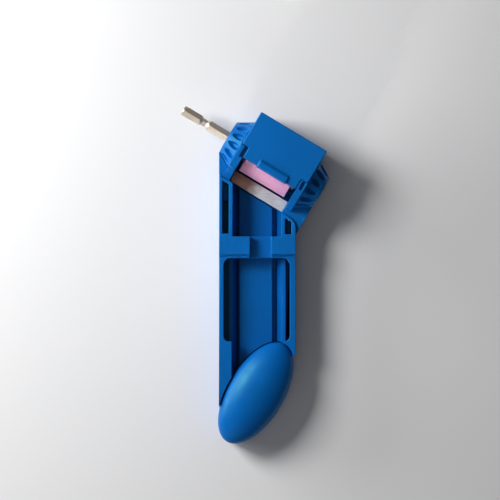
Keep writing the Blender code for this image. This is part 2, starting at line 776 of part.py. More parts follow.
def hexagon_mesh(name, low, high, corner):
    """A hexagonal bar about x with two flats that face up and down."""
    mesh = turned_mesh(name, [(high, 0), (high, corner), (low, corner), (low, 0)], 6)
    mesh.shade_flat()
    return mesh


def make_spindle():
    """Hexagonal shank with a neck, shoulder, arbor, thread and end journal in one bar."""
    corner = HEX_ACROSS_FLATS / 2 / math.cos(math.pi / 6)
    clear = corner + 0.5 * MM
    neck_left, neck_right = NECK
    mesh = hexagon_mesh("spindle", SHANK_END, CLIP_GROOVE[0], corner)
    mesh.transform(Matrix.Rotation(math.pi / 6, 4, "X"))
    spindle = add("spindle", mesh, HEAD, ("spindle_steel", DARK_STEEL))
    envelope = [
        (-BEARING_INNER, 0),
        (-BEARING_INNER, clear),
        (neck_right, clear),
        (neck_right - 0.6 * MM, corner * 0.92),
        (neck_right - 2.2 * MM, NECK_RADIUS),
        (neck_left + 2.2 * MM, NECK_RADIUS),
        (neck_left + 0.6 * MM, corner * 0.92),
        (neck_left, clear),
        (SHANK_END + 1.0 * MM, clear),
        (SHANK_END - 0.1 * MM, corner * 0.8),
        (SHANK_END - 0.1 * MM, 0),
    ]
    keep(spindle, turned("shank_envelope", envelope, 24))
    groove_left, groove_right = CLIP_GROOVE
    journal = ARBOR_RADIUS - JOURNAL_STEP
    end_journal = THREAD_RADIUS - JOURNAL_STEP
    shoulder_left = -BEARING_INNER + GAP
    shoulder_right = shoulder_left + 6.3 * MM
    thread_start = WHEEL_MIDDLE + WHEEL_LENGTH / 2 + 2.1 * MM
    journal_start = BEARING_INNER - 1.2 * MM
    shaft = [
        (BEARING_INNER + BEARING_WIDTH, 0),
        (BEARING_INNER + BEARING_WIDTH, end_journal),
        (journal_start, end_journal),
        (journal_start - 0.4 * MM, THREAD_RADIUS),
        (thread_start, THREAD_RADIUS),
        (thread_start, ARBOR_RADIUS),
        (shoulder_right, ARBOR_RADIUS),
        (shoulder_right, BEARING_BORE_RIM),
        (shoulder_left, BEARING_BORE_RIM),
        (shoulder_left, journal),
        (groove_right, journal),
        (groove_right, GROOVE_RADIUS),
        (groove_left, GROOVE_RADIUS),
        (groove_left, journal),
        (groove_left - 0.5 * MM, journal),
        (groove_left - 0.5 * MM, 0),
    ]
    join(spindle, turned("shaft", shaft, 24))


def make_wheel():
    low = WHEEL_MIDDLE - WHEEL_LENGTH / 2
    high = WHEEL_MIDDLE + WHEEL_LENGTH / 2
    bore = ARBOR_RADIUS + GAP
    edge = 0.4 * MM
    profile = [
        (high, bore),
        (high, WHEEL_RADIUS - edge),
        (high - edge, WHEEL_RADIUS),
        (low + edge, WHEEL_RADIUS),
        (low, WHEEL_RADIUS - edge),
        (low, bore),
    ]
    turned("grinding_wheel", profile, 48, look=("corundum", PINK), closed=True)


def make_wheel_clamp():
    """Flange, lock washer and nut that hold the wheel against the inner flange."""
    bore = ARBOR_RADIUS + GAP
    thread = THREAD_RADIUS + GAP
    low = WHEEL_MIDDLE - WHEEL_LENGTH / 2
    high = WHEEL_MIDDLE + WHEEL_LENGTH / 2
    look = ("clamp_steel", STEEL)
    ring("inner_flange", -21.3 * MM, low - GAP, bore, 8.6 * MM, 28, look=look)
    ring("outer_flange", high + GAP, 19.0 * MM, bore, 9 * MM, 28, look=look)
    ring("lock_washer", 19.3 * MM, 20.3 * MM, thread, 5.6 * MM, 20, look=look)
    corner = NUT_ACROSS_FLATS / 2 / math.cos(math.pi / 6)
    nut = add("wheel_nut", hexagon_mesh("wheel_nut", *NUT_SPAN, corner), HEAD, look)
    cut(nut, rod("nut_thread", 15 * MM, 30 * MM, thread, 20))


def make_bearing(name, side, shaft_radius):
    """A ball bearing: outer ring, inner ring, and a cage with its balls."""
    low, high = sorted((side * BEARING_INNER, side * (BEARING_INNER + BEARING_WIDTH)))
    outer_ring_inner = 7.9 * MM
    look = ("bearing_steel", STEEL)
    ring(f"{name}_bearing_outer_ring", low, high, outer_ring_inner, BEARING_RADIUS, 28, look=look)
    ring(f"{name}_bearing_inner_ring", low, high, shaft_radius + GAP, BEARING_BORE_RIM, 24, look=look)
    pitch_radius = (BEARING_BORE_RIM + outer_ring_inner) / 2
    middle = (low + high) / 2
    cage = ring(
        f"{name}_bearing_cage",
        middle - 0.7 * MM,
        middle + 0.7 * MM,
        pitch_radius - 0.45 * MM,
        pitch_radius + 0.45 * MM,
        BALLS * 3,
        look=("cage_brass", BRASS),
    )
    for i in range(BALLS):
        angle = 2 * math.pi * (i + 0.25) / BALLS
        form = bmesh.new()
        bmesh.ops.create_icosphere(form, subdivisions=2, radius=BALL_RADIUS)
        place = (middle, pitch_radius * math.cos(angle), pitch_radius * math.sin(angle))
        bmesh.ops.translate(form, vec=place, verts=form.verts)
        ball = f"{name}_ball_{i}"
        join(cage, add(ball, mesh_of(form, ball), HEAD))


def make_retaining_ring():
    """The open ring that holds the left inner ring on the spindle."""
    look = ("screw_steel", DARK_STEEL)
    clip = ring("retaining_ring", -35.3 * MM, -34.5 * MM, 3.5 * MM, 5.0 * MM, 24, look=look)
    cut(clip, box("ring_opening", (-37 * MM, -33 * MM), (-1.2 * MM, 1.2 * MM), (0, 8 * MM), HEAD))


def make_end_cap():
    """The dust plug in the far cone, with a rim behind the end wall."""
    profile = [
        (36.8 * MM, 0),
        (36.8 * MM, 4.6 * MM),
        (36.4 * MM, 5.3 * MM),
        (35.0 * MM, 5.3 * MM),
        (35.0 * MM, 7.2 * MM),
        (34.5 * MM, 7.2 * MM),
        (34.5 * MM, 0),
    ]
    turned("end_cap", profile, 24, look=("black_plastic", BLACK))


make_frame()
make_tray()
make_bed()
make_dome()
make_screws()
make_housing()
make_cone("left_cone", -1)
make_cone("right_cone", 1)
make_hood()
make_plate()
make_spindle()
make_wheel()
make_wheel_clamp()
make_bearing("left", -1, ARBOR_RADIUS - JOURNAL_STEP)
make_bearing("right", 1, THREAD_RADIUS - JOURNAL_STEP)
make_retaining_ring()
make_end_cap()
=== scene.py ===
"""Looks of a hand-held drill bit sharpener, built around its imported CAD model.

Every piece is made in place, in metres, in the frame of the CAD model, and rides on a CAD body.
The head's frame has x along the spindle, y away from the handle and z out of the tool's face.
"""

import json
import math

import bmesh
import bpy
from mathutils import Matrix, Vector


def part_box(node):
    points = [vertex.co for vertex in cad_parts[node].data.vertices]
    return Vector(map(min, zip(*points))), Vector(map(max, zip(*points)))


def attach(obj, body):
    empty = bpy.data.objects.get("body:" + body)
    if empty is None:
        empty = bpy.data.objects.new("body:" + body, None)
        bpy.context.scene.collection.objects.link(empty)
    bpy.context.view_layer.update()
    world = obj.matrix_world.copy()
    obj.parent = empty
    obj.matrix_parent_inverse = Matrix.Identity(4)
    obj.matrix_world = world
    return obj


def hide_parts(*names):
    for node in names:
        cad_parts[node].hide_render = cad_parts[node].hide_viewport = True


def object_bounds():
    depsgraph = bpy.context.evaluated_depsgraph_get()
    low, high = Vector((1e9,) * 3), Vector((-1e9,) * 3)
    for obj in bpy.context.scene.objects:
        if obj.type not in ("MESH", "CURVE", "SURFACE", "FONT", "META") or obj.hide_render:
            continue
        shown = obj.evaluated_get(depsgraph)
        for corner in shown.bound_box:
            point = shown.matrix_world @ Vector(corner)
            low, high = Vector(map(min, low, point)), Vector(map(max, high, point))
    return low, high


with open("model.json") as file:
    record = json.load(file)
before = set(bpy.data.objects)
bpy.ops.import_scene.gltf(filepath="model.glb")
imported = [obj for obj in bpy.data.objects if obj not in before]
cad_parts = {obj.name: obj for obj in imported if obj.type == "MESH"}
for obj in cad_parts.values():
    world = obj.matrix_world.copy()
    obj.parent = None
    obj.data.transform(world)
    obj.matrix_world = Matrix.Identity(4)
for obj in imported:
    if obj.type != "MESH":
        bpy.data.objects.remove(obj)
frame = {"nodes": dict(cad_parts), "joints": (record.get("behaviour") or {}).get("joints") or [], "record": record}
CAD_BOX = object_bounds()

MM = 0.001
NEAR = 0.01 * MM  # measures of the CAD model closer than this are the same
FIT_GAP = 0.3 * MM  # between a bearing and its seat
SEAM_FILL = 0.25 * MM  # how far a piece grows over a seam, which then shows as a fine line
RIM_FILL = 0.12 * MM  # the same at the rims of the bearing cones
NODES = frame["nodes"]
JOINTS = {joint["name"]: joint for joint in frame["joints"]}
BODY_OF = {
    node: body for body, nodes in frame["record"]["behaviour"]["bodies"].items() for node in nodes
}

UP = Vector((0, 0, 1))
ALONG = Vector(JOINTS["spindle_spin"]["axis"]).normalized()
AWAY = UP.cross(ALONG)
HEAD_TURN = Matrix((ALONG, AWAY, UP)).transposed().to_4x4()
HEAD = Matrix.Translation(JOINTS["spindle_spin"]["pos_m"]) @ HEAD_TURN
HEAD_ANGLE = -math.atan2(ALONG.y, ALONG.x)


# Places and sizes, read from the CAD model


def corners(node, place):
    """The corners of a CAD node, measured in another frame."""
    inverse = place.inverted()
    return [inverse @ vert.co for vert in NODES[node].data.vertices]


def span(node, place):
    """Lowest and highest corner of a CAD node, measured in another frame."""
    found = corners(node, place)
    low = Vector([min(point[i] for point in found) for i in range(3)])
    high = Vector([max(point[i] for point in found) for i in range(3)])
    return low, high


def polar(node):
    """(place along the spindle, distance from it) of each corner of a CAD node."""
    return [(point.x, math.hypot(point.y, point.z)) for point in corners(node, HEAD)]


def widest(node, low, high):
    """Largest distance from the spindle axis between two places along it."""
    return max(radius for x, radius in polar(node) if low <= x <= high)


def narrowest(node, low, high):
    """Smallest distance from the spindle axis between two places along it."""
    return min(radius for x, radius in polar(node) if low <= x <= high)


# Shapes

SHARP = math.radians(35)  # edges over this angle are rounded, and none of them is shaded smooth
NEARLY_STRAIGHT = math.radians(88)  # half the angle at a corner that stays as it is
LARGEST_SHARE = 0.45  # of a side that the rounding of one corner takes
MERGE = 0.002 * MM  # corners closer than this become one
FLAT = math.radians(0.6)  # faces that turn by less become one
SHORTEST_EDGE = 0.13 * MM
END_FACE = 0.05 * MM  # how far corners of an end face are from its highest one
ROUND_COLUMNS = 96


def rounded(points, radius, steps=3, closed=True):
    """A profile with its corners rounded, each by as much as its two sides allow."""
    result = []
    count = len(points)
    for i, point in enumerate(points):
        if not closed and i in (0, count - 1):
            result.append(point)
            continue
        corner = Vector(point)
        back = Vector(points[i - 1]) - corner
        ahead = Vector(points[(i + 1) % count]) - corner
        half = back.angle(ahead) / 2
        if half > NEARLY_STRAIGHT:
            result.append(point)
            continue
        room = min(back.length * LARGEST_SHARE, ahead.length * LARGEST_SHARE)
        reach = min(radius / math.tan(half), room)
        size = reach * math.tan(half)
        back.normalize()
        ahead.normalize()
        centre = corner + (back + ahead).normalized() * size / math.sin(half)
        spoke = corner + back * reach - centre
        turn = math.copysign(math.pi - 2 * half, back.y * ahead.x - back.x * ahead.y)
        for j in range(steps + 1):
            result.append(tuple(centre + Matrix.Rotation(turn * j / steps, 2) @ spoke))
    return result


def divided(points, longest, closed=True):
    """The same profile with points added so that no side is longer than a length."""
    result = []
    count = len(points)
    for i in range(count if closed else count - 1):
        start = Vector(points[i])
        end = Vector(points[(i + 1) % count])
        parts = max(1, math.ceil((end - start).length / longest))
        result += [tuple(start.lerp(end, j / parts)) for j in range(parts)]
    if not closed:
        result.append(points[-1])
    return result


def skin(form, grid, segments, closed):
    """Faces between the rows of a grid of corners, with three sides where two corners are one."""
    rows = len(grid)
    for i in range(rows if closed else rows - 1):
        first = grid[i]
        second = grid[(i + 1) % rows]
        for j in range(segments):
            k = (j + 1) % len(first)
            ring = [first[j], first[k], second[k], second[j]]
            face = [vert for n, vert in enumerate(ring) if vert not in ring[:n]]
            if len(face) > 2:
                form.faces.new(face)


def lathe(name, profile, segments, place=HEAD, closed=True, form_radius=None, sweep=(0, 360)):
    """A shape turned about a frame's x axis from (x, radius) points.

    form_radius(x, radius, angle) may change the radius, as for a hexagon or a pocket.
    A sweep under a full turn leaves an opening with flat ends.
    """
    start, end = (math.radians(angle) for angle in sweep)
    full = sweep[1] - sweep[0] >= 360
    columns = segments if full else segments + 1
    form = bmesh.new()
    grid = []
    for x, radius in profile:
        if radius == 0:
            axis_vert = form.verts.new(place @ Vector((x, 0, 0)))
            grid.append([axis_vert] * columns)
            continue
        row = []
        for j in range(columns):
            angle = start + (end - start) * j / segments
            here, reach = x, radius
            if form_radius:
                here, reach = form_radius(x, radius, angle)
            point = Vector((here, reach * math.cos(angle), reach * math.sin(angle)))
            row.append(form.verts.new(place @ point))
        grid.append(row)
    skin(form, grid, segments, closed)
    if not full:
        form.faces.new([row[0] for row in grid])
        form.faces.new([row[-1] for row in reversed(grid)])
    return finished(name, form)


def finished(name, form):
    """Turns a bmesh into a mesh, faces out and shaded smooth except at sharp edges."""
    bmesh.ops.recalc_face_normals(form, faces=form.faces)
    mesh = bpy.data.meshes.new(name)
    form.to_mesh(mesh)
    form.free()
    if "custom_normal" in mesh.attributes:
        mesh.attributes.remove(mesh.attributes["custom_normal"])
    mesh.shade_smooth()
    mesh.set_sharp_from_angle(angle=SHARP)
    return mesh


def piece(name, mesh, node, look):
    """A visible piece that stands for a CAD node and moves with its body."""
    obj = bpy.data.objects.new(name, mesh)
    bpy.context.scene.collection.objects.link(obj)
    mesh.materials.append(look)
    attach(obj, BODY_OF[node])
    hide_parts(node)
    return obj


def grow_over_seam(form, node):
    """Moves a CAD node's end face towards the head, up to the straight seam between them."""
    inverse = HEAD.inverted()
    end = span(node, HEAD)[1].y
    for vert in form.verts:
        if (inverse @ vert.co).y > end - END_FACE:
            vert.co += AWAY * SEAM_FILL


def moulding(name, node, look, radius, at_seam=False):
    """A piece of the CAD node's own shape, with its sharp edges rounded."""
    form = bmesh.new()
    form.from_mesh(NODES[node].data)
    if at_seam:
        grow_over_seam(form, node)
    bmesh.ops.remove_doubles(form, verts=form.verts, dist=MERGE)
    bmesh.ops.dissolve_limit(form, angle_limit=FLAT, verts=form.verts, edges=form.edges)
    bmesh.ops.dissolve_degenerate(form, dist=SHORTEST_EDGE, edges=form.edges)
    weight = form.edges.layers.float.new("bevel_weight_edge")
    for edge in form.edges:
        sharp = edge.is_manifold and edge.calc_face_angle(0) > SHARP
        edge[weight] = 1.0 if sharp else 0.0
    mesh = finished(name, form)
    obj = piece(name, mesh, node, look)
    bevel = obj.modifiers.new("rounded_edges", "BEVEL")
    bevel.limit_method = "WEIGHT"
    bevel.width = radius
    bevel.segments = 3
    bevel.use_clamp_overlap = False
    bevel.harden_normals = True
    bevel.miter_outer = "MITER_ARC"


# Materials

NYLON_CLOUD = 28 * MM
NYLON_PATCHES = 9 * MM
NYLON_SWIRL = 2.2 * MM
NYLON_SWIRL_DEPTH = 0.02 * MM
NYLON_GRAIN = 0.45 * MM
NYLON_GRAIN_DEPTH = 0.03 * MM
NYLON_EDGE = 0.5 * MM
METAL_CLOUD = 7 * MM
METAL_BANDS = 4 * MM
METAL_LINE_DEPTH = 0.01 * MM
METAL_EDGE = 0.35 * MM
# how much paler the metals are painted near their edges, a painted highlight
PAINTED_EDGE_HIGHLIGHT = 1.3
STONE_CLOUD = 6 * MM
STONE_GRAIN = 0.55 * MM
STONE_GRAIN_DEPTH = 0.12 * MM
STONE_FINE_GRAIN = 0.25 * MM
STONE_FINE_DEPTH = 0.06 * MM


def new_material(name):
    """A material with its node tree and its main shader."""
    made = bpy.data.materials.new(name)
    made.use_nodes = True
    tree = made.node_tree
    shader = tree.nodes["Principled BSDF"]
    return made, tree, shader


def add_node(tree, kind, inputs=None, **settings):
    """A shader node with its settings and inputs, which may be values or other nodes' outputs."""
    made = tree.nodes.new(f"ShaderNode{kind}")
    for key, value in settings.items():
        setattr(made, key, value)
    for key, value in (inputs or {}).items():
        if isinstance(value, bpy.types.NodeSocket):
            tree.links.new(value, made.inputs[key])
        else:
            made.inputs[key].default_value = value
    return made


def object_coordinates(tree, turn=0.0, stretch=(1, 1, 1)):
    """Coordinates in metres, turned about z and stretched."""
    coordinates = add_node(tree, "TexCoord").outputs["Object"]
    inputs = {"Vector": coordinates, "Rotation": (0, 0, turn), "Scale": stretch}
    return add_node(tree, "Mapping", inputs).outputs["Vector"]


def noise(tree, vector, cell, detail=3.0, roughness=0.5):
    """Noise from 0 to 1 with patches of about a size."""
    inputs = {"Vector": vector, "Scale": 1 / cell, "Detail": detail, "Roughness": roughness}
    return add_node(tree, "TexNoise", inputs).outputs["Fac"]


def scaled(tree, value, low, high, start=0.3, end=0.7):
    """A value's range from start to end, spread over low to high and cut off beyond them."""
    inputs = {"Value": value, "From Min": start, "From Max": end, "To Min": low, "To Max": high}
    return add_node(tree, "MapRange", inputs).outputs["Result"]


def mixed(tree, factor, first, second):
    """Mixes two colours; the factor and the colours may be values or outputs."""
    made = add_node(tree, "Mix", data_type="RGBA")
    for index, value in ((0, factor), (6, first), (7, second)):
        if isinstance(value, bpy.types.NodeSocket):
            tree.links.new(value, made.inputs[index])
        else:
            made.inputs[index].default_value = value if index == 0 else (*value[:3], 1)
    return made.outputs[2]


def math_node(tree, operation, *values):
    """The result of a sum on values or other nodes' outputs."""
    made = add_node(tree, "Math", operation=operation)
    for socket, value in zip(made.inputs, values):
        if isinstance(value, bpy.types.NodeSocket):
            tree.links.new(value, socket)
        else:
            socket.default_value = value
    return made.outputs[0]


def edge_mask(tree, radius, strength):
    """How near a point is to an edge, from how a rounded normal leaves the true one."""
    soft = add_node(tree, "Bevel", {"Radius": radius}, samples=4).outputs["Normal"]
    true = add_node(tree, "NewGeometry").outputs["Normal"]
    product = add_node(tree, "VectorMath", {0: soft, 1: true}, operation="DOT_PRODUCT")
    away = math_node(tree, "SUBTRACT", 1.0, product.outputs["Value"])
    return math_node(tree, "MINIMUM", math_node(tree, "MULTIPLY", away, strength), 1.0)


def bump(tree, shader, height, depth, base=None):
    """Roughens a shader's surface by a height map, over another bump if there is one."""
    inputs = {"Height": height, "Distance": depth}
    if base:
        inputs["Normal"] = base
    made = add_node(tree, "Bump", inputs)
    tree.links.new(made.outputs["Normal"], shader.inputs["Normal"])
    return made.outputs["Normal"]


def shaded(colour, share):
    """A colour made darker, or paler by a share over one."""
    return tuple(channel * share for channel in colour)


def plastic(name, colour, edge_colour, roughness, tint, turn=0.0, streak=1.0):
    """Moulded nylon: cloudy colour, polished rough patches, fine grain and paler edges, partly wear and partly a
    painted highlight.
    """
    made, tree, shader = new_material(name)
    place = object_coordinates(tree)
    flow = object_coordinates(tree, turn, (1, 1 / streak, 1))
    cloud = noise(tree, place, NYLON_CLOUD)
    swirl = noise(tree, flow, NYLON_SWIRL, 4)
    grain = noise(tree, place, NYLON_GRAIN, 2)
    base = mixed(tree, scaled(tree, cloud, 0, 1), shaded(colour, 0.93), shaded(colour, 1.08))
    streaked = mixed(tree, scaled(tree, swirl, 0, 0.25), base, shaded(colour, 1.18))
    # paler edges: partly wear and partly a painted highlight
    wear_and_painted_highlight = mixed(tree, edge_mask(tree, NYLON_EDGE, 2.2), streaked, edge_colour)
    tree.links.new(wear_and_painted_highlight, shader.inputs["Base Color"])
    patches = noise(tree, place, NYLON_PATCHES, 4)
    uneven = scaled(tree, patches, roughness - 0.05, roughness + 0.07)
    tree.links.new(uneven, shader.inputs["Roughness"])
    shader.inputs["Specular IOR Level"].default_value = 0.3
    shader.inputs["Specular Tint"].default_value = (*tint, 1)
    fine = bump(tree, shader, grain, NYLON_GRAIN_DEPTH)
    bump(tree, shader, swirl, NYLON_SWIRL_DEPTH, base=fine)
    return made


def brushed(name, colour, stain, turn, cell, roughness, stretch=(0.04, 1, 1)):
    """Metal with fine lines along one direction, uneven stain and a painted highlight along its edges."""
    made, tree, shader = new_material(name)
    place = object_coordinates(tree)
    lines = noise(tree, object_coordinates(tree, turn, stretch), cell, 5, 0.65)
    broad = noise(tree, object_coordinates(tree, turn, (0.2, 1, 1)), METAL_BANDS, 3)
    cloud = noise(tree, place, METAL_CLOUD, 4)
    base = mixed(tree, scaled(tree, lines, 0, 1), shaded(colour, 0.82), shaded(colour, 1.12))
    stained = mixed(tree, scaled(tree, cloud, 0, 0.5, 0.42, 0.75), base, stain)
    # painted highlight: the metal is paler near its edges
    painted_highlit_edges = mixed(tree, edge_mask(tree, METAL_EDGE, 1.6), stained, shaded(colour, PAINTED_EDGE_HIGHLIGHT))
    tree.links.new(painted_highlit_edges, shader.inputs["Base Color"])
    shader.inputs["Metallic"].default_value = 1.0
    narrow_bands = scaled(tree, lines, -0.05, 0.06)
    broad_bands = scaled(tree, broad, -0.04, 0.05)
    uneven = math_node(tree, "ADD", narrow_bands, broad_bands)
    tree.links.new(math_node(tree, "ADD", uneven, roughness), shader.inputs["Roughness"])
    bump(tree, shader, lines, METAL_LINE_DEPTH)
    return made


def plate_steel():
    """Brushed steel with a painted brown reflection and shade over the end next to the shank."""
    made = brushed("plate_steel", STEEL, WARM_STAIN, HEAD_ANGLE, cell=0.35 * MM, roughness=0.42)
    tree = made.node_tree
    shader = tree.nodes["Principled BSDF"]
    bare = shader.inputs["Base Color"].links[0].from_socket
    middle = HEAD @ Vector((PAINTED_REFLECTION_EDGE, 0, 0))
    place = add_node(tree, "TexCoord").outputs["Object"]
    shifted = add_node(tree, "VectorMath", {0: place, 1: tuple(middle)}, operation="SUBTRACT")
    inputs = {0: shifted.outputs[0], 1: tuple(ALONG)}
    along = add_node(tree, "VectorMath", inputs, operation="DOT_PRODUCT").outputs["Value"]
    cloud = scaled(tree, noise(tree, place, PAINTED_REFLECTION_CLOUD, 3), -PAINTED_REFLECTION_WAVER, PAINTED_REFLECTION_WAVER)
    # painted brown reflection and shade, covering the plate's end towards the shank and fading out along the
    # spindle
    painted_reflection = scaled(tree, math_node(tree, "ADD", along, cloud), 1, 0, -PAINTED_REFLECTION_FADE, PAINTED_REFLECTION_FADE)
    tree.links.new(mixed(tree, painted_reflection, bare, PAINTED_BROWN_REFLECTION), shader.inputs["Base Color"])
    return made


def abrasive(name, colour, dark, pale):
    """Vitrified abrasive: packed grains in two sizes and shades, pale crystals and dark pores."""
    made, tree, shader = new_material(name)
    place = object_coordinates(tree)
    grains = add_node(tree, "TexVoronoi", {"Vector": place, "Scale": 1 / STONE_GRAIN})
    fine = noise(tree, place, STONE_FINE_GRAIN, 3)
    cloud = noise(tree, place, STONE_CLOUD, 4)
    hue = add_node(tree, "SeparateColor", {"Color": grains.outputs["Color"]}).outputs["Red"]
    base = mixed(tree, hue, shaded(colour, 0.9), shaded(colour, 1.07))
    cloudy = mixed(tree, scaled(tree, cloud, 0, 0.35), base, shaded(colour, 0.86))
    crystals = mixed(tree, scaled(tree, fine, 0, 0.55, 0.6, 0.75), cloudy, pale)
    pores = mixed(tree, scaled(tree, fine, 0.6, 0, 0.25, 0.38), crystals, dark)
    tree.links.new(pores, shader.inputs["Base Color"])
    tree.links.new(scaled(tree, fine, 0.75, 0.98), shader.inputs["Roughness"])
    first = bump(tree, shader, grains.outputs["Distance"], STONE_GRAIN_DEPTH)
    bump(tree, shader, fine, STONE_FINE_DEPTH, base=first)
    return made


BLUE = (0.001, 0.108, 0.40)
# paler edge colour of the blue nylon, partly wear and partly a painted highlight
PALE_BLUE = (0.004, 0.22, 0.60)
BLUE_GLOSS = (0.28, 1.0, 0.5)
BLACK = (0.016, 0.016, 0.018)
# paler edge colour of the black plastic, partly wear and partly a painted highlight
EDGE_BLACK_WEAR_AND_HIGHLIGHT = (0.06, 0.06, 0.065)
PINK = (0.64, 0.305, 0.485)
PORE = (0.22, 0.10, 0.15)
CRYSTAL = (0.86, 0.66, 0.76)
STEEL = (0.90, 0.92, 0.96)
WARM_STAIN = (0.52, 0.50, 0.50)
COOL_STAIN = (0.35, 0.35, 0.37)
# painted brown reflection and shade on the guide plate: its colour, where it ends, how it fades and how its edge
# wavers
PAINTED_BROWN_REFLECTION = (0.245, 0.135, 0.112)
PAINTED_REFLECTION_EDGE = -3.0 * MM  # along the spindle, from the middle of the wheel
PAINTED_REFLECTION_FADE = 4.5 * MM
PAINTED_REFLECTION_CLOUD = 3 * MM
PAINTED_REFLECTION_WAVER = 0.8 * MM
SHANK_STEEL = (0.80, 0.70, 0.58)
SHANK_STAIN = (0.60, 0.51, 0.41)
CLAMP_ZINC = (0.20, 0.21, 0.22)
DARK_ZINC = (0.16, 0.16, 0.17)
BRASS = (0.62, 0.45, 0.17)
BRASS_STAIN = (0.30, 0.18, 0.06)

LINES_ROUND = (1, 0.05, 0.05)  # stretches the lines round the spindle
NO_LINES = (1, 1, 1)

NYLON = plastic("nylon", BLUE, PALE_BLUE, roughness=0.40, tint=BLUE_GLOSS, streak=6)
DOME_NYLON = plastic(
    "dome_nylon", BLUE, PALE_BLUE, roughness=0.36, tint=BLUE_GLOSS, turn=HEAD_ANGLE, streak=12
)
BLACK_PLASTIC = plastic("black_plastic", BLACK, EDGE_BLACK_WEAR_AND_HIGHLIGHT, roughness=0.5, tint=(1, 1, 1))
PLATE_STEEL = plate_steel()
SPINDLE_STEEL = brushed(
    "spindle_steel",
    SHANK_STEEL,
    SHANK_STAIN,
    HEAD_ANGLE,
    cell=0.3 * MM,
    roughness=0.5,
    stretch=LINES_ROUND,
)
BEARING_STEEL = brushed(
    "bearing_steel", STEEL, COOL_STAIN, HEAD_ANGLE, cell=0.25 * MM, roughness=0.16
)
CLAMP_STEEL = brushed(
    "clamp_steel", CLAMP_ZINC, COOL_STAIN, HEAD_ANGLE, cell=0.4 * MM, roughness=0.34
)
SCREW_STEEL = brushed(
    "screw_steel", DARK_ZINC, COOL_STAIN, 0, cell=0.3 * MM, roughness=0.38, stretch=NO_LINES
)
CAGE_BRASS = brushed("cage_brass", BRASS, BRASS_STAIN, HEAD_ANGLE, cell=0.3 * MM, roughness=0.33)
CORUNDUM = abrasive("corundum", PINK, PORE, CRYSTAL)


# Mouldings

FRONT_EDGE = 0.35 * MM
BACK_EDGE = 0.25 * MM
HEAD_EDGE = 0.3 * MM
HOOD_EDGE = 0.8 * MM
PLATE_EDGE = 0.18 * MM

moulding("handle_front_moulding", "handle_frame", NYLON, FRONT_EDGE, at_seam=True)
moulding("handle_back_moulding", "handle_tray", NYLON, BACK_EDGE, at_seam=True)
moulding("trough_bed_moulding", "trough_bed", NYLON, FRONT_EDGE)
moulding("head_moulding", "head_housing", NYLON, HEAD_EDGE)
moulding("hood_moulding", "wheel_hood", NYLON, HOOD_EDGE)
moulding("guide_plate_pressing", "guide_plate", PLATE_STEEL, PLATE_EDGE)


# Palm dome

DOME_WALL = 2.5 * MM
DOME_INSIDE = 0.9  # the inside's half width, and the foot's below, as shares of the outside's
FOOT_OUTSIDE = 0.985
FOOT_INSIDE = 0.91
FOOT_BEVEL = 0.4 * MM
DOME_STEPS = 40
DOME_COLUMNS = 160


def dome_section(foot, rim, top):
    """(height, share of the dome's half width) down its outside and up again inside."""
    section = [(top, 0.0)]
    for i in range(1, DOME_STEPS + 1):
        angle = math.pi / 2 * i / DOME_STEPS
        section.append((rim + (top - rim) * math.cos(angle), math.sin(angle)))
    section += [(foot + FOOT_BEVEL, 1.0), (foot, FOOT_OUTSIDE)]
    section += [(foot, FOOT_INSIDE), (foot + FOOT_BEVEL, DOME_INSIDE)]
    inner_steps = DOME_STEPS // 2
    for i in range(inner_steps, -1, -1):
        angle = math.pi / 2 * i / inner_steps
        height = rim + (top - DOME_WALL - rim) * math.cos(angle)
        section.append((height, DOME_INSIDE * math.sin(angle)))
    return section


def make_dome():
    """A hollow oval cap: half an ellipsoid on a short upright rim."""
    low, high = span("palm_dome", HEAD_TURN)
    middle = HEAD_TURN @ ((low + high) / 2)
    place = Matrix.Translation((middle.x, middle.y, 0)) @ HEAD_TURN
    half_width = (high.x - low.x) / 2
    half_length = (high.y - low.y) / 2
    ends = [point for point in corners("palm_dome", place) if abs(point.y) > half_length * 0.999]
    rim = max(point.z for point in ends)
    form = bmesh.new()
    grid = []
    for z, share in dome_section(low.z, rim, high.z):
        if share == 0:
            tip = form.verts.new(place @ Vector((0, 0, z)))
            grid.append([tip] * DOME_COLUMNS)
            continue
        row = []
        for j in range(DOME_COLUMNS):
            angle = 2 * math.pi * j / DOME_COLUMNS
            point = (half_width * share * math.cos(angle), half_length * share * math.sin(angle), z)
            row.append(form.verts.new(place @ Vector(point)))
        grid.append(row)
    skin(form, grid, DOME_COLUMNS, closed=False)
    piece("dome_moulding", finished("dome_moulding", form), "palm_dome", DOME_NYLON)


make_dome()


# Bearing cones

END_WALL = 1.0 * MM
POCKETS_ROUND = 14
POCKET_MIDDLE = 0.43  # of the cone's length
POCKET_HALF_LENGTH = 5.1 * MM
POCKET_HALF_WIDTH = 2.35 * MM
POCKET_TAPER = 0.3
POCKET_DEPTH = 3.1 * MM
PLAIN_TURNS = (80, 125)  # degrees round the cone where it is plain, beside the head's wing
CONE_SKIN = 0.5 * MM  # points nearer to the outside than this are on it
CONE_EDGE = 0.4 * MM
CONE_ROWS = 0.22 * MM
CONE_COLUMNS = 420


